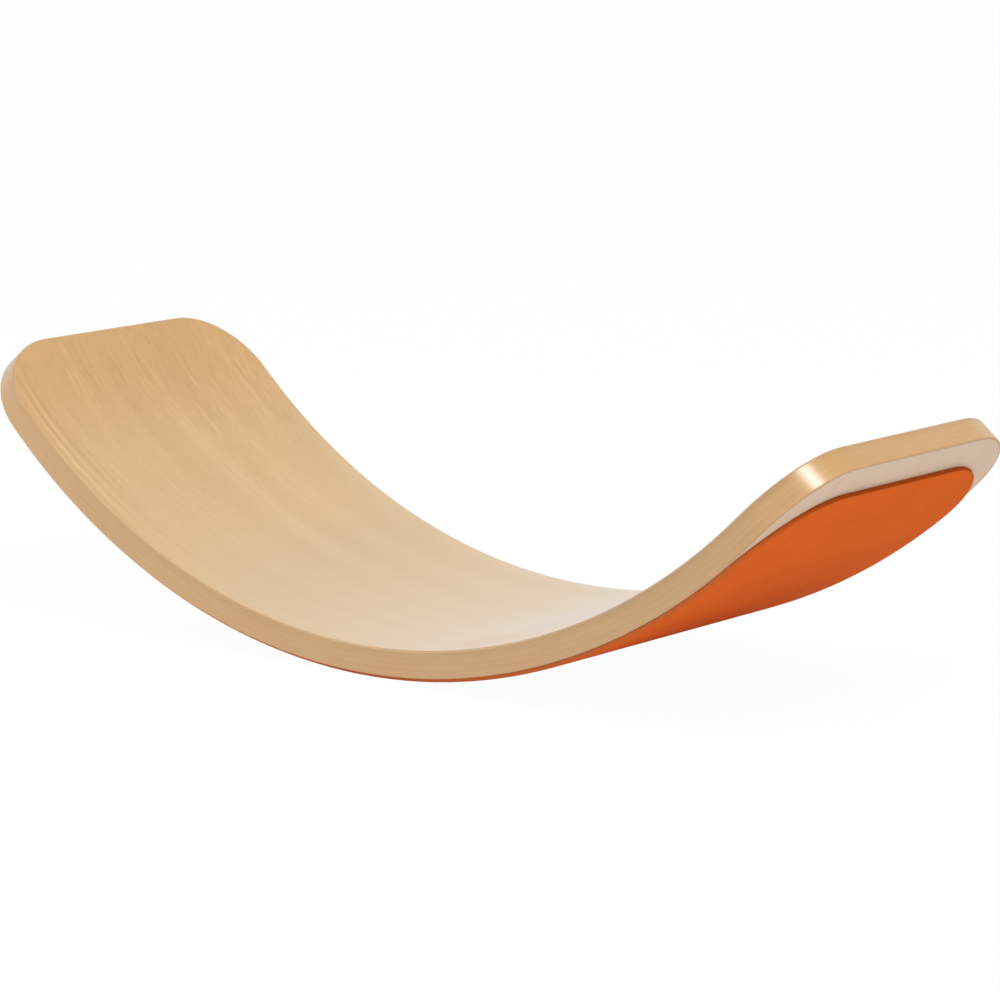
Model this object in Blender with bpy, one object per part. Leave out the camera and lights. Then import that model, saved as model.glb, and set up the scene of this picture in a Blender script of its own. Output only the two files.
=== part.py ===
"""Curved wooden balance board, a rocker that a child stands, sits or lies on.

A stack of beech plies between two ash face veneers is bent to one arc, and a felt pad is bonded
under it. Metres, +Z up. X runs along the board and Y across it. The origin is the middle of the
felt, where the board rests on the floor.

Every sheet is first made flat. There X is the distance along the bend, measured on the wood's
convex face, and Z is the height above that face, so the bend axis is at Z = BEND_RADIUS.
"""

import math

import bmesh
import bpy

COLLECTION = "wooden_balance_board"

# The bent wooden board
BOARD_LENGTH = 0.986
BOARD_WIDTH = 0.300
BEND_RADIUS = 0.554
CORNER_RADIUS = 0.069
TOP_ROUND = 0.0018
BOTTOM_ROUND = 0.0010

# The layers, each with a thin glue line to the next
GLUE_LINE = 0.0003
FACE_VENEER = 0.0007
CORE_PLY = 0.0013
CORE_PLIES = 13
CROSS_GRAIN_PLIES = (4, 7, 10)

# The pad under the rocker
FILM_THICKNESS = 0.0002
FELT_THICKNESS = 0.0030
FELT_END_MARGIN = 0.031
FELT_SIDE_MARGIN = 0.0028
FELT_CORNER_RADIUS = 0.076
FILM_MARGIN = 0.001
# The felt's ends are cut square. Its long sides are pressed soft: they reach the full depth this
# far in from its outline, and are cut at these shares of that depth.
FELT_SOFT_SIDE = 0.0060
FELT_SIDE_CUTS = (0.5, 0.8, 0.95)

# How finely the round shapes are cut. The bend has an odd count, so that a flat facet is lowest.
BEND_FACETS = 37
CORNER_FACETS = 7

WOOD_THICKNESS = 2 * FACE_VENEER + CORE_PLIES * CORE_PLY + (CORE_PLIES + 1) * GLUE_LINE
PAD_THICKNESS = FILM_THICKNESS + FELT_THICKNESS + 2 * GLUE_LINE
FELT_LENGTH = BOARD_LENGTH - 2 * FELT_END_MARGIN
FELT_WIDTH = BOARD_WIDTH - 2 * FELT_SIDE_MARGIN
FELT_TOP = FELT_THICKNESS - PAD_THICKNESS
FACET_LENGTH = BOARD_LENGTH / BEND_FACETS
AXIS_HEIGHT = (BEND_RADIUS + PAD_THICKNESS) * math.cos(FACET_LENGTH / BEND_RADIUS / 2)
CUT_TOLERANCE = 1e-7


def clear_scene():
    for obj in list(bpy.data.objects):
        bpy.data.objects.remove(obj, do_unlink=True)


def linear(channel):
    """A display colour channel, 0 to 255, as the linear value that a shader takes."""
    share = channel / 255
    if share <= 0.04045:
        return share / 12.92
    return ((share + 0.055) / 1.055) ** 2.4


def make_material(name, colour, roughness):
    material = bpy.data.materials.new(name)
    material.use_nodes = True
    shader = material.node_tree.nodes["Principled BSDF"]
    shader.inputs["Base Color"].default_value = (*map(linear, colour), 1.0)
    shader.inputs["Roughness"].default_value = roughness
    shader.inputs["Metallic"].default_value = 0.0
    return material


def flat_plate(length, width, corner, low, high):
    """A flat sheet from height low to height high, with its four upright corners rounded."""
    bm = bmesh.new()
    bmesh.ops.create_cube(bm, size=1.0)
    bmesh.ops.scale(bm, vec=(length, width, high - low), verts=bm.verts)
    bmesh.ops.translate(bm, vec=(0, 0, (low + high) / 2), verts=bm.verts)
    half_thickness = (high - low) / 2
    upright = [
        edge
        for edge in bm.edges
        if abs(edge.verts[0].co.z - edge.verts[1].co.z) > half_thickness
    ]
    bmesh.ops.bevel(
        bm,
        geom=upright,
        offset=corner,
        offset_type="OFFSET",
        segments=CORNER_FACETS,
        profile=0.5,
        affect="EDGES",
    )
    return bm


def wood_inset(height):
    """How far the rounded long and end edges of the wood stand back at this height."""
    if height > WOOD_THICKNESS / 2:
        radius, depth = TOP_ROUND, max(0.0, WOOD_THICKNESS - height)
    else:
        radius, depth = BOTTOM_ROUND, max(0.0, height)
    if depth >= radius:
        return 0.0
    return radius - math.sqrt(radius**2 - (radius - depth) ** 2)


def round_over(bm):
    """Draws the outline in at each height, towards the rectangle that joins the corners' centres."""
    half_x = BOARD_LENGTH / 2 - CORNER_RADIUS
    half_y = BOARD_WIDTH / 2 - CORNER_RADIUS
    for vert in bm.verts:
        core_x = max(-half_x, min(half_x, vert.co.x))
        core_y = max(-half_y, min(half_y, vert.co.y))
        reach = 1 - wood_inset(vert.co.z) / CORNER_RADIUS
        vert.co.x = core_x + (vert.co.x - core_x) * reach
        vert.co.y = core_y + (vert.co.y - core_y) * reach


def press_sides(bm):
    """Draws the felt's long sides in at each height, and leaves its ends upright."""
    half_y = FELT_WIDTH / 2 - FELT_CORNER_RADIUS
    for vert in bm.verts:
        depth = max(0.0, min(1.0, (FELT_TOP - vert.co.z) / FELT_THICKNESS))
        inset = FELT_SOFT_SIDE * (1 - math.sqrt(1 - depth**2))
        core_y = max(-half_y, min(half_y, vert.co.y))
        vert.co.y = core_y + (vert.co.y - core_y) * (1 - inset / FELT_CORNER_RADIUS)


def cut_across(bm, place, normal):
    """Cuts every face of the flat sheet that the plane meets."""
    bmesh.ops.bisect_plane(
        bm,
        geom=bm.verts[:] + bm.edges[:] + bm.faces[:],
        dist=CUT_TOLERANCE,
        plane_co=place,
        plane_no=normal,
    )


def cut_at_facets(bm):
    """Cuts the flat sheet across at every line where it will bend."""
    for i in range(1, BEND_FACETS):
        cut_across(bm, (i * FACET_LENGTH - BOARD_LENGTH / 2, 0, 0), (1, 0, 0))


def bend(bm):
    """Wraps the flat sheet round the bend axis, which becomes its origin.

    It bends at the facet lines only and stays flat between them. All sheets share those lines, so
    neighbours stay parallel and keep the glue line between them.
    """
    for vert in bm.verts:
        facet = math.floor((vert.co.x + BOARD_LENGTH / 2) / FACET_LENGTH)
        facet = max(0, min(BEND_FACETS - 1, facet))
        start = facet * FACET_LENGTH - BOARD_LENGTH / 2
        share = (vert.co.x - start) / FACET_LENGTH
        start_angle = start / BEND_RADIUS
        end_angle = (start + FACET_LENGTH) / BEND_RADIUS
        radius = BEND_RADIUS - vert.co.z
        sine = (1 - share) * math.sin(start_angle) + share * math.sin(end_angle)
        cosine = (1 - share) * math.cos(start_angle) + share * math.cos(end_angle)
        vert.co.x = radius * sine
        vert.co.z = -radius * cosine


def add_sheet(name, bm, material, collection, axis):
    """The flat sheet, bent and placed on the bend axis as an object of its own."""
    cut_at_facets(bm)
    bend(bm)
    bmesh.ops.recalc_face_normals(bm, faces=bm.faces[:])
    mesh = bpy.data.meshes.new(name)
    bm.to_mesh(mesh)
    bm.free()
    mesh.materials.append(material)
    obj = bpy.data.objects.new(name, mesh)
    collection.objects.link(obj)
    obj.parent = axis
    return obj


def add_wood_sheet(name, low, thickness, material, collection, axis):
    bm = flat_plate(BOARD_LENGTH, BOARD_WIDTH, CORNER_RADIUS, low, low + thickness)
    round_over(bm)
    return add_sheet(name, bm, material, collection, axis)


def add_film(name, material, collection, axis):
    """The thin adhesive sheet, whose outline is the felt's drawn in a little."""
    length = FELT_LENGTH - 2 * FILM_MARGIN
    width = FELT_WIDTH - 2 * FILM_MARGIN
    corner = FELT_CORNER_RADIUS - FILM_MARGIN
    bm = flat_plate(length, width, corner, -GLUE_LINE - FILM_THICKNESS, -GLUE_LINE)
    return add_sheet(name, bm, material, collection, axis)


def add_felt(name, material, collection, axis):
    low = FELT_TOP - FELT_THICKNESS
    bm = flat_plate(FELT_LENGTH, FELT_WIDTH, FELT_CORNER_RADIUS, low, FELT_TOP)
    for share in FELT_SIDE_CUTS:
        cut_across(bm, (0, 0, FELT_TOP - share * FELT_THICKNESS), (0, 0, 1))
    press_sides(bm)
    return add_sheet(name, bm, material, collection, axis)


def main():
    clear_scene()
    collection = bpy.data.collections.new(COLLECTION)
    bpy.context.scene.collection.children.link(collection)

    axis = bpy.data.objects.new("bend_axis", None)
    axis.location = (0, 0, AXIS_HEIGHT)
    collection.objects.link(axis)

    ash = make_material("ash_face_veneer", (222, 190, 148), 0.38)
    beech = make_material("beech_long_grain", (205, 169, 126), 0.45)
    cross_beech = make_material("beech_cross_grain", (196, 157, 112), 0.48)
    film = make_material("adhesive_film", (232, 226, 210), 0.50)
    felt = make_material("orange_felt", (204, 94, 40), 0.95)

    add_wood_sheet("back_face_veneer", 0, FACE_VENEER, ash, collection, axis)
    for number in range(CORE_PLIES, 0, -1):
        below = CORE_PLIES - number
        low = FACE_VENEER + GLUE_LINE + below * (CORE_PLY + GLUE_LINE)
        grain = cross_beech if number in CROSS_GRAIN_PLIES else beech
        name = f"core_ply_{number:02d}"
        add_wood_sheet(name, low, CORE_PLY, grain, collection, axis)
    top = WOOD_THICKNESS - FACE_VENEER
    add_wood_sheet("top_face_veneer", top, FACE_VENEER, ash, collection, axis)

    add_film("felt_adhesive_film", film, collection, axis)
    add_felt("felt_pad", felt, collection, axis)


main()
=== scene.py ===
"""The looks of a curved wooden balance board: lacquered ash and beech plywood on an orange felt pad."""

import math

import bmesh
import bpy
from mathutils import Matrix, Vector, noise


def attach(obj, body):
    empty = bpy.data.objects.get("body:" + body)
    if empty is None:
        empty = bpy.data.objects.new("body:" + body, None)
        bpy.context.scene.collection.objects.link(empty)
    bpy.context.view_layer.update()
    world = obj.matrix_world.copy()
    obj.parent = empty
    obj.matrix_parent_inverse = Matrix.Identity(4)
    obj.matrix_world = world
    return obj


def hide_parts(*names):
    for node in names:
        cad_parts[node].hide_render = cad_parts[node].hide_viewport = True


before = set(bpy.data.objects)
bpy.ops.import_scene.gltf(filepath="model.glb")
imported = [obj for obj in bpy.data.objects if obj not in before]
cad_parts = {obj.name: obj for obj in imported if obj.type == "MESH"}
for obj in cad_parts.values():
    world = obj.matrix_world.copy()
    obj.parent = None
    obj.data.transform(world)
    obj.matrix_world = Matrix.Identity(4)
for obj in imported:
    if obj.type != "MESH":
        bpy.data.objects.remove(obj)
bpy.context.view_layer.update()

BODY = "root"

# The bent wooden board, in metres. X runs along the bend on the wood's convex face.
BOARD_LENGTH = 0.986
BOARD_WIDTH = 0.300
BEND_RADIUS = 0.554
CORNER_RADIUS = 0.069
TOP_ROUND = 0.0018
BOTTOM_ROUND = 0.0010

# The layers. The glue takes up the space between two plies, but for a hairline.
FACE_VENEER = 0.00085
CORE_PLY = 0.0016
CORE_PLIES = 13
CROSS_GRAIN_PLIES = (4, 7, 10)
HAIRLINE = 0.00002
WOOD_THICKNESS = 2 * FACE_VENEER + CORE_PLIES * CORE_PLY

# The pad under the rocker. The felt's ends are cut square and its long sides are pressed soft.
PAD_THICKNESS = 0.0038
FILM_THICKNESS = 0.00022
FILM_MARGIN = 0.0015
FELT_END_MARGIN = 0.031
FELT_SIDE_MARGIN = 0.0028
FELT_CORNER_RADIUS = 0.076
FELT_SOFT_SIDE = 0.0060
FELT_RIM_ROUND = 0.0006
FELT_LEVELS = (1.0, 0.985, 0.95, 0.88, 0.78, 0.65, 0.5, 0.3, 0.1, 0.0)
FELT_SWELL = 0.00014
FELT_SWOLLEN_BELOW = 0.0015
FELT_CUT_WANDER = 0.00025
FELT_CUT_NAP = 0.00010
FELT_WANDER_REACH = 0.006
FELT_SQUARE_CUT_REACH = 0.0012
# How far in from the long sides the felt's painted shade reaches
FELT_SIDE_SHADE_REACH = 0.011
FELT_MARK = 0.9
FELT_LENGTH = BOARD_LENGTH - 2 * FELT_END_MARGIN
FELT_WIDTH = BOARD_WIDTH - 2 * FELT_SIDE_MARGIN
FELT_TOP = -2 * HAIRLINE - FILM_THICKNESS
FELT_THICKNESS = PAD_THICKNESS + FELT_TOP

# The felt's unevenness, in waves to a metre
WANDER_WAVES = 45
NAP_WAVES = 420
NAP_WAVES_IN_DEPTH = 700
BROAD_WAVES = 60
FINE_WAVES = 260

AXIS_HEIGHT = BEND_RADIUS + PAD_THICKNESS

# How finely the sheets and their round edges are cut. The felt's own uneven face needs more.
COLUMN_LENGTH = 0.004
CORNER_COLUMNS = 14
TOP_ROWS = 8
BACK_ROWS = 6
HIDDEN_ROWS = 2
FELT_COLUMN_LENGTH = 0.0028
FELT_CORNER_COLUMNS = 24
FELT_ROWS = 110
ROUND_STEPS = 8
CUT_TOLERANCE = 1e-7
SHARP_ANGLE = math.radians(32)

# The camera, matched to the photograph
CAMERA_TARGET = Vector((0.02330, 0.0, 0.12360))
CAMERA_AZIMUTH = math.radians(39.169)
CAMERA_ELEVATION = math.radians(10.677)
CAMERA_ROLL = math.radians(0.194)
CAMERA_DISTANCE = 3.4419
CAMERA_LENS = 152.83
SENSOR_WIDTH = 36.0

# The floor. It sheds some light of its own, but none near the board's middle, where its distance
# is measured shorter along the board than across it. To the camera it is nearly white.
FLOOR_RADIUS = 9.0
FLOOR_SIDES = 96
FLOOR_GREY = (0.90, 0.90, 0.90, 1.0)
FLOOR_SQUEEZE = (0.6, 1.0, 0.0)
FLOOR_DARK_TO = 0.05
FLOOR_GLOWS_FROM = 0.22
FLOOR_GLOW = 0.25
FLOOR_GLOW_SEEN = 0.97

# The room. What the lacquer mirrors goes from one strength to the other as the way to it rises
# along the lean from the first share to the last.
ROOM_LIGHT = 0.60
ROOM_LEAN = (0.5, 0.0, 1.0)
CEILING_FROM = 0.42
CEILING_TO = 0.68
MIRRORED_LOW = 0.82
MIRRORED_HIGH = 0.25

# The lamps: name, size, watts, place and the point that it is aimed at
LAMPS = (
    ("soft_box", 0.50, 24.0, (1.21, -0.57, 2.20), (0.4, -0.13, 0.2)),
    ("overhead", 1.6, 3.0, (0.0, 0.2, 2.6), (0.0, 0.0, 0.0)),
    ("front_fill", 0.8, 7.0, (-1.3, -1.3, 0.8), (-0.3, -0.15, 0.15)),
)


def linear(red, green, blue):
    """A display colour, each channel 0 to 255, as the linear colour that a shader takes."""
    shares = (red / 255, green / 255, blue / 255)
    return tuple(c / 12.92 if c <= 0.04045 else ((c + 0.055) / 1.055) ** 2.4 for c in shares) + (1.0,)


class Value:
    """One number of a shader, which adds Math nodes as it is used in arithmetic."""

    def __init__(self, finish, socket):
        self.finish = finish
        self.socket = socket

    def math(self, operation, *terms):
        inputs = dict(enumerate(terms))
        return self.finish.node("ShaderNodeMath", {"operation": operation}, inputs)

    def __add__(self, other):
        return self.math("ADD", self, other)

    __radd__ = __add__

    def __mul__(self, other):
        return self.math("MULTIPLY", self, other)

    __rmul__ = __mul__

    def __sub__(self, other):
        return self.math("SUBTRACT", self, other)

    def __rsub__(self, other):
        return self.math("SUBTRACT", other, self)

    def __truediv__(self, other):
        return self.math("DIVIDE", self, other)

    def part(self):
        """The part after the decimal point."""
        return self.math("FRACT", self)

    def floor(self):
        return self.math("FLOOR", self)

    def size(self):
        return self.math("ABSOLUTE", self)

    def at_least(self, low):
        return self.math("MAXIMUM", self, low)

    def ramp(self, low, high, start=0.0, end=1.0):
        """Runs smoothly from start to end as the number goes from low to high."""
        settings = {"interpolation_type": "SMOOTHSTEP"}
        inputs = {"Value": self, "From Min": low, "From Max": high, "To Min": start, "To Max": end}
        return self.finish.node("ShaderNodeMapRange", settings, inputs)

    def hump(self, centre, half_width):
        """1 at the centre, falling smoothly to 0 at half_width either side."""
        return (self - centre).size().ramp(0.0, half_width, 1.0, 0.0)


class Finish:
    """One material: a Principled shader, and the nodes that drive what changes over its surface."""

    def __init__(self, name, **constants):
        self.material = bpy.data.materials.new(name)
        self.material.use_nodes = True
        self.tree = self.material.node_tree
        self.shader = self.tree.nodes["Principled BSDF"]
        for socket, value in constants.items():
            self.shader.inputs[socket.replace("_", " ")].default_value = value

    def node(self, kind, settings, inputs, output=0):
        """A node with its settings and its inputs, as numbers or links. Returns one of its outputs."""
        made = self.tree.nodes.new(kind)
        for name, value in settings.items():
            setattr(made, name, value)
        for name, value in inputs.items():
            if isinstance(value, Value):
                self.tree.links.new(value.socket, made.inputs[name])
            else:
                made.inputs[name].default_value = value
        return Value(self, made.outputs[output])

    def drive(self, socket, value):
        self.tree.links.new(value.socket, self.shader.inputs[socket])

    def flat_place(self):
        """Where the point lay before the bend: along the board, across it, and above the convex face."""
        return self.node("ShaderNodeAttribute", {"attribute_name": "flat"}, {}, "Vector")

    def parts(self, vector):
        made = self.tree.nodes.new("ShaderNodeSeparateXYZ")
        self.tree.links.new(vector.socket, made.inputs[0])
        return [Value(self, made.outputs[i]) for i in range(3)]

    def vector(self, x, y, z):
        return self.node("ShaderNodeCombineXYZ", {}, {0: x, 1: y, 2: z})

    def from_outline(self, along, across):
        """How far a point of the board lies in from its outline, up to the corner radius."""
        past_x = (along.size() - (BOARD_LENGTH / 2 - CORNER_RADIUS)).at_least(0.0)
        past_y = (across.size() - (BOARD_WIDTH / 2 - CORNER_RADIUS)).at_least(0.0)
        inputs = {0: self.vector(past_x, past_y, 0.0)}
        reach = self.node("ShaderNodeVectorMath", {"operation": "LENGTH"}, inputs, "Value")
        return CORNER_RADIUS - reach

    def noise(self, place, detail=2.0, roughness=0.5, distortion=0.0):
        """Smooth random values round 0.5, one to a unit of place."""
        inputs = {
            "Vector": place,
            "Scale": 1.0,
            "Detail": detail,
            "Roughness": roughness,
            "Distortion": distortion,
        }
        return self.node("ShaderNodeTexNoise", {}, inputs, "Fac")

    def mix(self, share, first, second):
        """A colour between first and second."""
        return self.node("ShaderNodeMix", {"data_type": "RGBA"}, {0: share, 6: first, 7: second}, 2)

    def shade(self, colour, amount):
        """The colour made lighter or darker by amount, where 1 leaves it."""
        inputs = {0: colour, 1: self.vector(amount, amount, amount)}
        return self.node("ShaderNodeVectorMath", {"operation": "MULTIPLY"}, inputs)

    def bump(self, height, distance):
        inputs = {"Strength": 1.0, "Distance": distance, "Height": height}
        return self.node("ShaderNodeBump", {}, inputs, "Normal")


LACQUER = {
    "Specular_IOR_Level": 0.25,
    "Coat_Weight": 1.0,
    "Coat_Roughness": 0.12,
    "Coat_IOR": 1.5,
}


def grain_places(finish, along, across, seed):
    """The place across the board as the grain has it: rippled, and rippled with a wide sway too."""
    slow = finish.noise(finish.vector(along * 1.7, across * 5.0, seed), detail=1.0)
    wave = finish.noise(finish.vector(along * 11.0, across * 9.0, seed + 8.0), detail=1.0)
    ripple = finish.noise(finish.vector(along * 42.0, across * 55.0, seed + 9.0), detail=1.0)
    wavy = across + (wave - 0.5) * 0.005 + (ripple - 0.5) * 0.0024
    return wavy, wavy + (slow - 0.5) * 0.022


def early_wood(finish, along, sway, ring_width, seed):
    """Where the year's ring is at its tan early wood, which fades into the pale late wood."""
    uneven = finish.noise(finish.vector(along * 0.8, sway * 38.0, seed + 5.0), detail=1.0)
    step = (sway / ring_width + uneven * 1.8).part()
    return step.ramp(0.0, 0.22) * step.ramp(0.22, 0.85, 1.0, 0.0)


def lay_figure(finish, colour, figure, along, wavy):
    """The colour with the bands and lines of this one sheet, as listed."""
    for start, end, first, last, half_width, amount in figure:
        middle = (along - start) * ((last - first) / (end - start)) + first
        line = along.hump((start + end) / 2, (end - start) / 2) * (wavy - middle).hump(0.0, half_width)
        colour = finish.shade(colour, line * amount + 1.0)
    return colour


def face_veneer(
    name, pale, tan, warm, reflection_paling, pore, edge, edge_reach, ring_width, clear_side, seed, figure, coat
):
    """Ash: soft bands and fibre along the board, and rings, clear near one side.

    It is warm towards the board's ends, paler and pinker right of its middle as a painted reflection if
    a colour is given for that, and has the tone of the sanded edge as far in from its outline as
    edge_reach says.
    """
    finish = Finish(name, **{**LACQUER, "Coat_Weight": coat})
    along, across, _ = finish.parts(finish.flat_place())
    wavy, sway = grain_places(finish, along, across, seed)
    early = early_wood(finish, along, sway, ring_width, seed)
    strength = along.size().ramp(0.10, 0.46, 0.10, 1.0)
    patchy = finish.noise(finish.vector(along * 6.0, across * 14.0, seed + 7.0), detail=1.0)
    clear = (across * clear_side).ramp(0.09, 0.13) * along.size().ramp(0.20, 0.38, 0.1, 0.7) + 0.14
    ring_tone = early * clear * patchy.ramp(0.35, 0.65, 0.25, 1.0)

    wide = finish.noise(finish.vector(along * 1.3, sway * 15.0, seed + 2.0), detail=1.0)
    band = finish.noise(finish.vector(along * 2.2, sway * 42.0, seed + 3.0), detail=0.0)
    streak = finish.noise(finish.vector(along * 5.0, sway * 120.0, seed + 1.0), detail=1.0)
    fibre = finish.noise(finish.vector(along * 11.0, sway * 620.0, seed), detail=3.0, roughness=0.65)
    fleck = finish.noise(finish.vector(along * 70.0, wavy * 300.0, seed + 4.0), detail=2.0)
    marks = finish.noise(finish.vector(along * 15.0, sway * 230.0, seed + 6.0), detail=0.0)
    pores = finish.noise(finish.vector(along * 110.0, sway * 2600.0, seed), detail=1.0)
    pore_mask = pores.ramp(0.60, 0.72) * (early * 0.8 + 0.2)

    tone = ring_tone * strength * 0.42 + streak.ramp(0.3, 0.75) * strength * 0.07
    tone = tone + band.ramp(0.25, 0.75) * (strength * 0.7 + 0.3) * 0.17 + wide.ramp(0.25, 0.75) * 0.26
    tone = tone + along.hump(-0.18, 0.12) * 0.13
    colour = finish.mix(tone, pale, tan)
    colour = finish.mix(along.size().ramp(0.34, 0.46), colour, finish.mix(tone, warm, tan))
    # Painted reflection: a pale pinkish tone right of the top face's middle, standing in for the lacquer
    # mirroring the white room
    if reflection_paling:
        colour = finish.mix(along.hump(0.145, 0.165) * 0.6, colour, reflection_paling)
    colour = lay_figure(finish, colour, figure, along, wavy)

    marked = marks.ramp(0.66, 0.80) - marks.ramp(0.20, 0.34, 1.0, 0.0)
    outer = along.size().ramp(0.22, 0.38, 1.0, 2.2)
    colour = finish.shade(colour, marked * strength * outer * patchy.ramp(0.38, 0.60) * 0.034 + 1.0)
    flecked = (fleck - 0.5) * strength * patchy.ramp(0.40, 0.60, 0.5, 1.0)
    colour = finish.shade(colour, flecked * 0.24 + 1.0)
    colour = finish.shade(colour, fibre.ramp(0.2, 0.8, 0.988, 1.010))
    colour = finish.mix(pore_mask * 0.16, colour, pore)

    from_rim = finish.from_outline(along, across) - along.ramp(-0.02, 0.12) * 0.0006
    colour = finish.mix(from_rim.ramp(*edge_reach, 1.0, 0.0), colour, edge)
    finish.drive("Base Color", colour)
    finish.drive("Roughness", fibre.ramp(0.2, 0.8, 0.42, 0.50))
    finish.drive("Normal", finish.bump(fibre * 0.3 - pore_mask, 0.00002))
    return finish.material


def ply_edges(name, pale, dark, left_tip_painted_reflection, ripe, seed):
    """Sanded and lacquered beech plies, seen on their edges, with a fine glue line between them.

    They are darker under the upper rim, paler and pinker at the left tip as a painted reflection, and
    riper at the right one.
    """
    finish = Finish(name, **{**LACQUER, "Specular_IOR_Level": 0.1, "Coat_Roughness": 0.27})
    along, across, height = finish.parts(finish.flat_place())
    layer = (height - FACE_VENEER) / CORE_PLY
    own_tone = finish.noise(finish.vector(layer.floor() * 7.3, seed, 0.0), detail=0.0)
    lines = finish.noise(finish.vector(along * 26.0, across * 60.0, height * 1500.0), detail=3.0)
    ray = finish.noise(finish.vector(along * 420.0, across * 420.0, height * 1100.0), detail=1.0)
    cloud = finish.noise(finish.vector(along * 14.0, across * 14.0, height * 60.0), detail=2.0)

    tone = lines.ramp(0.25, 0.75) * 0.12 + cloud.ramp(0.25, 0.75) * 0.40 + own_tone.ramp(0.3, 0.7) * 0.06
    colour = finish.mix(tone, pale, dark)
    colour = finish.shade(colour, 1.0 - ray.ramp(0.62, 0.74) * 0.06)
    glue = (layer.part() - 0.5).size().ramp(0.465, 0.5)
    colour = finish.shade(colour, 1.0 - glue * 0.04)
    under_rim = height.ramp(0.0150, 0.0205, 0.0, 1.0)
    colour = finish.shade(colour, 1.0 - under_rim * along.ramp(0.0, 0.30, 0.06, 0.13))
    # Painted shade: the plies' edges darker round 0.33 m right of the middle, where less light falls
    colour = finish.shade(colour, 1.0 - along.hump(0.33, 0.16) * 0.04)
    # Painted reflection: paler, pinker plies at the left tip
    colour = finish.mix(along.ramp(-0.486, -0.452, 0.35, 0.0), colour, left_tip_painted_reflection)
    colour = finish.mix(along.ramp(0.462, 0.486, 0.0, 0.3), colour, ripe)
    finish.drive("Base Color", colour)
    finish.drive("Roughness", lines.ramp(0.2, 0.8, 0.42, 0.52))
    finish.drive("Normal", finish.bump(lines * 0.5 - glue, 0.000015))
    return finish.material


def pressed_felt(name, face, light_fibre, shadow, cut, painted_shade_brown):
    """Matted wool-like fibres, darker where the sheet was cut square.

    They have painted shade, browner, along the pressed sides and where the middle rests near the floor,
    and painted light, lighter, along the sides next to the wood.
    """
    finish = Finish(name, Specular_IOR_Level=0.04, Roughness=0.95)
    along, across, height = finish.parts(finish.flat_place())
    rim = finish.node("ShaderNodeAttribute", {"attribute_name": "cut_rim"}, {}, "Fac")
    side = finish.node("ShaderNodeAttribute", {"attribute_name": "side_light_and_shade"}, {}, "Fac")
    swirl = finish.noise(finish.vector(along * 210.0, across * 210.0, height * 210.0), 2.0, 0.6, 1.2)
    strands = finish.noise(
        finish.vector(along * 1500.0, across * 900.0, height * 1200.0), 3.0, 0.7, 2.5
    )
    crossed = finish.noise(
        finish.vector(along * 700.0, across * 1700.0, height * 1200.0), 3.0, 0.7, 2.5
    )
    cloud = finish.noise(finish.vector(along * 22.0, across * 22.0, height * 22.0), detail=2.0)
    matted = strands * 0.5 + crossed * 0.5
    colour = finish.mix(matted.ramp(0.40, 0.62), shadow, face)
    colour = finish.mix(matted.ramp(0.56, 0.70) * 0.35, colour, light_fibre)
    colour = finish.shade(colour, swirl.ramp(0.25, 0.75, 0.97, 1.03))
    colour = finish.shade(colour, cloud.ramp(0.25, 0.75, 0.98, 1.02))
    # Painted shade: browner and darker towards the middle, where the felt rests near the floor
    colour = finish.mix(along.size().ramp(0.165, 0.250, 0.30, 0.0), colour, painted_shade_brown)
    # Painted shade and painted light: browner along the long sides, then lighter next to the wood, where
    # the crease is shaded
    colour = finish.shade(finish.mix(side, colour, painted_shade_brown), side * side * 0.22 + 1.0)
    colour = finish.mix(rim, colour, cut)
    finish.drive("Base Color", colour)
    finish.drive("Normal", finish.bump(matted + swirl * 0.6, 0.00030))
    return finish.material


def adhesive(name, tone, aged):
    """The pad's adhesive sheet, of which only the edge shows."""
    finish = Finish(name, Specular_IOR_Level=0.4)
    along, across, _ = finish.parts(finish.flat_place())
    cloud = finish.noise(finish.vector(along * 60.0, across * 60.0, 0.0), detail=2.0)
    finish.drive("Base Color", finish.mix(cloud.ramp(0.3, 0.7) * 0.5, tone, aged))
    finish.drive("Roughness", cloud.ramp(0.2, 0.8, 0.35, 0.6))
    return finish.material


def columns(length, corner, column_length, corner_columns):
    """Where a sheet is cut across: round its corners in equal turns, and evenly in between."""
    half_straight = length / 2 - corner
    turns = [math.sin(math.pi / 2 * i / corner_columns) for i in range(1, corner_columns + 1)]
    right = [half_straight + corner * turn for turn in turns]
    count = max(2, round(2 * half_straight / column_length))
    middle = [-half_straight + 2 * half_straight * i / count for i in range(count + 1)]
    return [-place for place in reversed(right)] + middle + right


def flat_sheet(length, width, corner, rows, column_length=COLUMN_LENGTH, corner_columns=CORNER_COLUMNS):
    """A flat grid with rounded corners, at height 0."""
    places = columns(length, corner, column_length, corner_columns)
    bm = bmesh.new()
    bmesh.ops.create_grid(bm, x_segments=len(places) - 1, y_segments=rows, size=0.5)
    half_x = length / 2 - corner
    half_y = width / 2 - corner
    for vert in bm.verts:
        x = places[round((vert.co.x + 0.5) * (len(places) - 1))]
        past = max(0.0, abs(x) - half_x)
        reach = half_y + math.sqrt(max(0.0, corner**2 - past**2))
        vert.co.x = x
        vert.co.y *= 2 * reach
    return bm


def from_core(place, length, width, corner):
    """The nearest point of the rectangle that joins the corners' centres, and the way out from it."""
    half_x = length / 2 - corner
    half_y = width / 2 - corner
    core = Vector((max(-half_x, min(half_x, place.x)), max(-half_y, min(half_y, place.y)), 0.0))
    return core, Vector((place.x, place.y, 0.0)) - core


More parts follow.
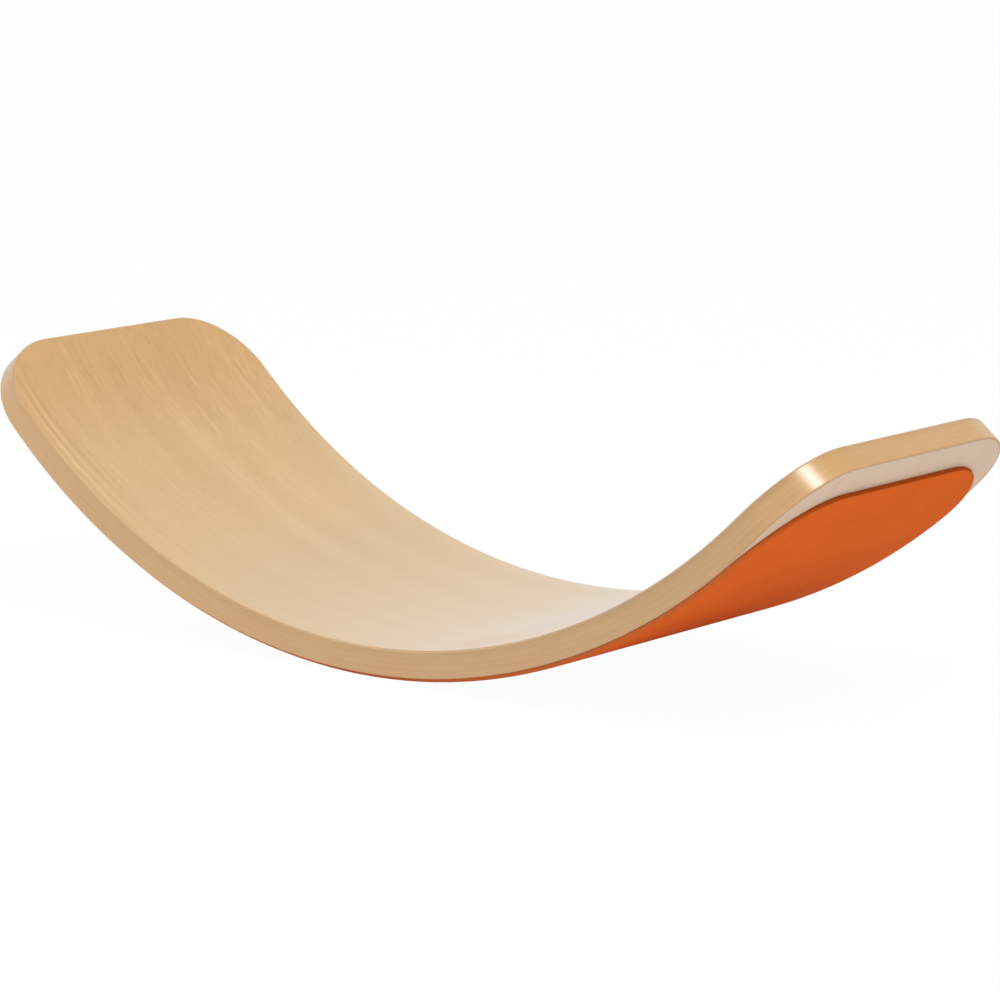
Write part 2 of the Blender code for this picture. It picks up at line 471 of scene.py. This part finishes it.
def thicken(bm, heights):
    """Makes the grid a plate from the first height to the last, with its rim cut at those between."""
    made = bmesh.ops.extrude_face_region(bm, geom=bm.faces[:], use_keep_orig=True)
    raised = [item for item in made["geom"] if isinstance(item, bmesh.types.BMVert)]
    bmesh.ops.translate(bm, verts=bm.verts, vec=(0.0, 0.0, heights[0]))
    bmesh.ops.translate(bm, verts=raised, vec=(0.0, 0.0, heights[-1] - heights[0]))
    for height in heights[1:-1]:
        bmesh.ops.bisect_plane(
            bm,
            geom=bm.verts[:] + bm.edges[:] + bm.faces[:],
            dist=CUT_TOLERANCE,
            plane_co=(0.0, 0.0, height),
            plane_no=(0.0, 0.0, 1.0),
        )
    bmesh.ops.recalc_face_normals(bm, faces=bm.faces[:])


def draw_in(bm, length, width, corner, end_inset, side_inset):
    """Moves the outline in at each height, by one amount at the ends and another at the sides."""
    for vert in bm.verts:
        core, out = from_core(vert.co, length, width, corner)
        out.x *= 1 - end_inset(vert.co.z) / corner
        out.y *= 1 - side_inset(vert.co.z) / corner
        vert.co = core + out + Vector((0.0, 0.0, vert.co.z))


def bend(bm):
    """Keeps each point's flat place as an attribute, then wraps the sheet round the bend axis."""
    layer = bm.verts.layers.float_vector.new("flat")
    for vert in bm.verts:
        vert[layer] = vert.co
        angle = vert.co.x / BEND_RADIUS
        radius = BEND_RADIUS - vert.co.z
        vert.co.x = radius * math.sin(angle)
        vert.co.z = AXIS_HEIGHT - radius * math.cos(angle)


def finished(name, bm, material, node):
    """The piece as an object that rides on the board and stands for its solid."""
    mesh = bpy.data.meshes.new(name)
    bm.to_mesh(mesh)
    bm.free()
    mesh.materials.append(material)
    mesh.shade_smooth()
    mesh.set_sharp_from_angle(angle=SHARP_ANGLE)
    piece = bpy.data.objects.new(name, mesh)
    bpy.context.scene.collection.objects.link(piece)
    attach(piece, BODY)
    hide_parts(node)
    return piece


def quarter_round(radius, depth):
    """How far a rounded edge stands back at this depth from the face."""
    depth = max(0.0, min(radius, depth))
    return radius - math.sqrt(radius**2 - (radius - depth) ** 2)


def wood_inset(height):
    return max(quarter_round(BOTTOM_ROUND, height), quarter_round(TOP_ROUND, WOOD_THICKNESS - height))


def round_heights():
    """Heights at which the rounded edges are cut into steps of equal turn."""
    steps = [1 - math.cos(math.pi / 2 * i / ROUND_STEPS) for i in range(ROUND_STEPS + 1)]
    low = [BOTTOM_ROUND * step for step in steps]
    high = [WOOD_THICKNESS - TOP_ROUND * step for step in reversed(steps)]
    return low + high


def wood_sheet(name, low, high, rows, material, node):
    """A layer of the wood from height low to height high, its share of the rounded edge with it."""
    inner = [height for height in round_heights() if low + HAIRLINE / 2 < height < high - HAIRLINE / 2]
    bm = flat_sheet(BOARD_LENGTH, BOARD_WIDTH, CORNER_RADIUS, rows)
    thicken(bm, [low, *inner, high])
    draw_in(bm, BOARD_LENGTH, BOARD_WIDTH, CORNER_RADIUS, wood_inset, wood_inset)
    bend(bm)
    return finished(name, bm, material, node)


def build_wood():
    ash_pale = linear(231, 196, 146)
    ash_tan = linear(208, 166, 110)
    ash_warm = linear(223, 179, 123)
    ash_pore = linear(158, 116, 70)
    # Bands and lines of the top veneer: from and to along the board, place across at either end of
    # the band, half its width, and how much lighter or darker it is
    top_figure = (
        (-0.400, -0.170, 0.012, 0.016, 0.0024, -0.060),
        (-0.370, -0.220, 0.037, 0.027, 0.010, -0.022),
        (-0.470, -0.230, 0.006, 0.013, 0.012, 0.030),
        (-0.405, -0.335, 0.005, 0.016, 0.0020, 0.045),
        (-0.490, -0.430, -0.001, 0.024, 0.0024, 0.030),
        (-0.480, -0.350, 0.1105, 0.1145, 0.0026, 0.065),
        (-0.480, -0.350, 0.1155, 0.1195, 0.0026, -0.080),
        (-0.470, -0.280, 0.047, 0.053, 0.014, -0.028),
        (-0.480, -0.350, -0.026, -0.036, 0.012, -0.035),
        (-0.520, -0.340, -0.064, -0.086, 0.008, 0.055),
        (-0.465, -0.330, -0.101, -0.102, 0.007, -0.045),
        (-0.500, -0.350, -0.126, -0.128, 0.0022, -0.080),
        (-0.500, -0.320, -0.1305, -0.134, 0.0020, 0.085),
        (-0.500, -0.330, -0.1350, -0.138, 0.0023, -0.110),
        (-0.500, -0.260, -0.1390, -0.142, 0.0022, 0.095),
        (-0.350, -0.080, -0.1420, -0.146, 0.0034, 0.045),
        (-0.200, -0.120, -0.031, -0.027, 0.012, -0.020),
        (-0.330, 0.130, -0.090, -0.090, 0.300, -0.047),
        (-0.440, -0.180, 0.060, 0.060, 0.070, 0.070),
        (-0.560, -0.330, 0.120, 0.120, 0.080, 0.075),
    )
    top_ash = face_veneer(
        "ash_face_veneer",
        ash_pale,
        ash_tan,
        ash_warm,
        # Painted reflection: the pale pinkish tone mixed in right of the top face's middle
        linear(226, 193, 170),
        ash_pore,
        edge=linear(192, 152, 104),
        edge_reach=(0.0002, 0.0013),
        ring_width=0.0085,
        clear_side=-1.0,
        seed=2.0,
        figure=top_figure,
        coat=1.0,
    )
    # Painted reflection: the back veneer has no coat, and its ash tones are made paler and pinker to
    # stand in for the sheen of lacquer mirroring the white room
    back_pale_painted_sheen = linear(221, 196, 170)
    back_tan_painted_sheen = linear(212, 184, 156)
    back_ash = face_veneer(
        "ash_back_veneer",
        back_pale_painted_sheen,
        back_tan_painted_sheen,
        back_pale_painted_sheen,
        None,
        ash_pore,
        edge=linear(206, 165, 119),
        edge_reach=(0.0009, 0.0022),
        ring_width=0.0110,
        clear_side=1.0,
        seed=41.0,
        figure=(),
        coat=0.0,
    )
    # Painted reflection for the left tip of the plies' edges
    left_tip_painted_reflection = linear(196, 172, 152)
    ripe = linear(220, 169, 103)
    beech = ply_edges(
        "beech_long_grain", linear(208, 168, 119), linear(196, 153, 104), left_tip_painted_reflection, ripe, 3.0
    )
    cross_beech = ply_edges(
        "beech_cross_grain", linear(205, 165, 116), linear(193, 150, 101), left_tip_painted_reflection, ripe, 9.0
    )

    half = HAIRLINE / 2
    back_top = FACE_VENEER - half
    wood_sheet("back_veneer", 0.0, back_top, BACK_ROWS, back_ash, "back_face_veneer")
    for number in range(CORE_PLIES, 0, -1):
        low = FACE_VENEER + (CORE_PLIES - number) * CORE_PLY
        cross = number in CROSS_GRAIN_PLIES
        wood_sheet(
            f"ply_{number:02d}",
            low + half,
            low + CORE_PLY - half,
            HIDDEN_ROWS,
            cross_beech if cross else beech,
            f"core_ply_{number:02d}",
        )
    low = WOOD_THICKNESS - FACE_VENEER + half
    wood_sheet("top_veneer", low, WOOD_THICKNESS, TOP_ROWS, top_ash, "top_face_veneer")


def felt_end_inset(height):
    return quarter_round(FELT_RIM_ROUND, height + PAD_THICKNESS)


def felt_side_inset(height):
    depth = max(0.0, min(1.0, (FELT_TOP - height) / FELT_THICKNESS))
    return FELT_SOFT_SIDE * (1 - math.sqrt(1 - depth**2))


def build_pad():
    film = adhesive("adhesive_film", linear(196, 160, 116), linear(176, 138, 96))
    length = FELT_LENGTH - 2 * FILM_MARGIN
    width = FELT_WIDTH - 2 * FILM_MARGIN
    corner = FELT_CORNER_RADIUS - FILM_MARGIN
    bm = flat_sheet(length, width, corner, HIDDEN_ROWS)
    thicken(bm, [-HAIRLINE - FILM_THICKNESS, -HAIRLINE])
    bend(bm)
    finished("adhesive_sheet", bm, film, "felt_adhesive_film")

    orange = pressed_felt(
        "orange_felt",
        linear(235, 113, 42),
        linear(243, 136, 63),
        linear(216, 95, 31),
        cut=linear(184, 80, 30),
        # Painted shade: the brown of the felt's shaded parts
        painted_shade_brown=linear(180, 99, 58),
    )
    bm = flat_sheet(
        FELT_LENGTH,
        FELT_WIDTH,
        FELT_CORNER_RADIUS,
        FELT_ROWS,
        FELT_COLUMN_LENGTH,
        FELT_CORNER_COLUMNS,
    )
    thicken(bm, [FELT_TOP - share * FELT_THICKNESS for share in FELT_LEVELS])
    draw_in(bm, FELT_LENGTH, FELT_WIDTH, FELT_CORNER_RADIUS, felt_end_inset, felt_side_inset)
    mark_rims(bm)
    ruffle(bm)
    bend(bm)
    felt = finished("felt", bm, orange, "felt_pad")


def mark_rims(bm):
    """Marks the ends' square-cut rim, and the long sides for the felt's painted shade and painted light.
    """
    rim_layer = bm.verts.layers.float.new("cut_rim")
    side_layer = bm.verts.layers.float.new("side_light_and_shade")
    for vert in bm.verts:
        core, out = from_core(vert.co, FELT_LENGTH, FELT_WIDTH, FELT_CORNER_RADIUS)
        from_cut = FELT_CORNER_RADIUS - out.length
        endwise = abs(out.x) / max(out.length, 1e-6)
        depth = (FELT_TOP - vert.co.z) / FELT_THICKNESS
        square_cut = max(0.0, min(1.0, 1 - from_cut / FELT_SQUARE_CUT_REACH))
        # Painted shade along the long sides, strongest next to the wood
        pressed = max(0.0, 1 - from_cut / FELT_SOFT_SIDE) ** 0.5 * max(0.0, 1 - depth) ** 0.7
        side_shade = max(0.0, 1 - from_cut / FELT_SIDE_SHADE_REACH)
        vert[rim_layer] = FELT_MARK * square_cut * endwise
        vert[side_layer] = FELT_MARK * (0.7 * pressed + 0.3 * side_shade) * (1 - endwise)


def ruffle(bm):
    """Gives the felt its uneven face and its slightly wandering cut."""
    for vert in bm.verts:
        core, out = from_core(vert.co, FELT_LENGTH, FELT_WIDTH, FELT_CORNER_RADIUS)
        from_cut = FELT_CORNER_RADIUS - out.length
        if from_cut < FELT_WANDER_REACH and out.length > 0:
            wander = uneven_at(vert.co, WANDER_WAVES, 1.5)
            nap = uneven_at(vert.co, NAP_WAVES, vert.co.z * NAP_WAVES_IN_DEPTH)
            shift = wander * FELT_CUT_WANDER + nap * FELT_CUT_NAP
            vert.co -= out.normalized() * (shift * (1 - from_cut / FELT_WANDER_REACH))
        if vert.co.z < FELT_TOP - FELT_SWOLLEN_BELOW:
            broad = uneven_at(vert.co, BROAD_WAVES, 7.0)
            fine = uneven_at(vert.co, FINE_WAVES, 3.0)
            vert.co.z += FELT_SWELL * (0.5 + 0.30 * broad + 0.5 * fine)


def uneven_at(place, waves, level):
    """A smooth random value round 0 for a place on the felt, with so many waves to a metre."""
    return noise.noise(Vector((place.x * waves, place.y * waves, level)))


def shader_node(nodes, kind, **settings):
    made = nodes.new(kind)
    for name, value in settings.items():
        setattr(made, name, value)
    return made


def smooth_range(nodes, low, high, start, end):
    """A node that runs smoothly from start to end as its value goes from low to high."""
    made = shader_node(nodes, "ShaderNodeMapRange", interpolation_type="SMOOTHSTEP")
    made.inputs["From Min"].default_value = low
    made.inputs["From Max"].default_value = high
    made.inputs["To Min"].default_value = start
    made.inputs["To Max"].default_value = end
    return made


def build_floor():
    """A pale floor, seen as nearly white, that keeps a soft shadow of the board and gives the felt
    little light close to where it rests."""
    mesh = bpy.data.meshes.new("floor")
    bm = bmesh.new()
    bmesh.ops.create_circle(bm, cap_ends=True, segments=FLOOR_SIDES, radius=FLOOR_RADIUS)
    bm.to_mesh(mesh)
    bm.free()
    floor = bpy.data.objects.new("floor", mesh)
    bpy.context.scene.collection.objects.link(floor)

    paint = bpy.data.materials.new("pale_floor")
    paint.use_nodes = True
    nodes, links = paint.node_tree.nodes, paint.node_tree.links
    diffuse = nodes["Principled BSDF"]
    diffuse.inputs["Base Color"].default_value = FLOOR_GREY
    diffuse.inputs["Roughness"].default_value = 0.9
    diffuse.inputs["Specular IOR Level"].default_value = 0.0
    white = nodes.new("ShaderNodeEmission")
    path = nodes.new("ShaderNodeLightPath")
    place = nodes.new("ShaderNodeTexCoord")
    stretched = shader_node(nodes, "ShaderNodeVectorMath", operation="MULTIPLY")
    stretched.inputs[1].default_value = FLOOR_SQUEEZE
    links.new(place.outputs["Object"], stretched.inputs[0])
    away = shader_node(nodes, "ShaderNodeVectorMath", operation="LENGTH")
    links.new(stretched.outputs[0], away.inputs[0])
    glow = smooth_range(nodes, FLOOR_DARK_TO, FLOOR_GLOWS_FROM, 0.0, FLOOR_GLOW)
    links.new(away.outputs["Value"], glow.inputs["Value"])
    share = nodes.new("ShaderNodeMapRange")
    share.inputs["To Max"].default_value = FLOOR_GLOW_SEEN
    links.new(glow.outputs["Result"], share.inputs["To Min"])
    links.new(path.outputs["Is Camera Ray"], share.inputs["Value"])
    blend = nodes.new("ShaderNodeMixShader")
    links.new(share.outputs["Result"], blend.inputs[0])
    links.new(diffuse.outputs[0], blend.inputs[1])
    links.new(white.outputs[0], blend.inputs[2])
    links.new(blend.outputs[0], nodes["Material Output"].inputs["Surface"])
    mesh.materials.append(paint)


def build_room():
    """White surroundings. The lacquer mirrors them white low down and dimmer towards the ceiling."""
    world = bpy.data.worlds.new("white_room")
    bpy.context.scene.world = world
    world.use_nodes = True
    nodes, links = world.node_tree.nodes, world.node_tree.links
    room = nodes["Background"]
    room.inputs["Color"].default_value = (1.0, 1.0, 1.0, 1.0)
    path = nodes.new("ShaderNodeLightPath")
    place = nodes.new("ShaderNodeTexCoord")
    lean = shader_node(nodes, "ShaderNodeVectorMath", operation="DOT_PRODUCT")
    lean.inputs[1].default_value = ROOM_LEAN
    links.new(place.outputs["Generated"], lean.inputs[0])
    ceiling = smooth_range(nodes, CEILING_FROM, CEILING_TO, MIRRORED_LOW, MIRRORED_HIGH)
    links.new(lean.outputs["Value"], ceiling.inputs["Value"])
    mirrored = shader_node(nodes, "ShaderNodeMix", data_type="FLOAT")
    mirrored.inputs[2].default_value = ROOM_LIGHT
    links.new(path.outputs["Is Glossy Ray"], mirrored.inputs[0])
    links.new(ceiling.outputs["Result"], mirrored.inputs[3])
    seen = shader_node(nodes, "ShaderNodeMix", data_type="FLOAT")
    seen.inputs[3].default_value = 1.0
    links.new(path.outputs["Is Camera Ray"], seen.inputs[0])
    links.new(mirrored.outputs[0], seen.inputs[2])
    links.new(seen.outputs[0], room.inputs["Strength"])


def soft_light(name, size, power, place, target):
    light = bpy.data.lights.new(name, "AREA")
    light.shape = "SQUARE"
    light.size = size
    light.energy = power
    lamp = bpy.data.objects.new(name, light)
    lamp.location = place
    aim = Vector(target) - lamp.location
    lamp.rotation_euler = aim.to_track_quat("-Z", "Y").to_euler()
    bpy.context.scene.collection.objects.link(lamp)


def build_camera():
    azimuth, elevation = CAMERA_AZIMUTH, CAMERA_ELEVATION
    back = Vector(
        (
            math.sin(azimuth) * math.cos(elevation),
            -math.cos(azimuth) * math.cos(elevation),
            math.sin(elevation),
        )
    )
    right = Vector((0, 0, 1)).cross(back).normalized()
    up = back.cross(right)
    side = right * math.cos(CAMERA_ROLL) + up * math.sin(CAMERA_ROLL)
    top = up * math.cos(CAMERA_ROLL) - right * math.sin(CAMERA_ROLL)
    lens = bpy.data.cameras.new("camera")
    lens.lens = CAMERA_LENS
    lens.sensor_width = SENSOR_WIDTH
    lens.clip_start = 0.1
    lens.clip_end = 50.0
    camera = bpy.data.objects.new("camera", lens)
    turn = Matrix((side, top, back)).transposed().to_4x4()
    camera.matrix_world = Matrix.Translation(CAMERA_TARGET + back * CAMERA_DISTANCE) @ turn
    bpy.context.scene.collection.objects.link(camera)
    bpy.context.scene.camera = camera


build_camera()
build_floor()
build_room()
for lamp in LAMPS:
    soft_light(*lamp)
build_wood()
build_pad()

scene = bpy.context.scene
scene.view_settings.view_transform = "Standard"
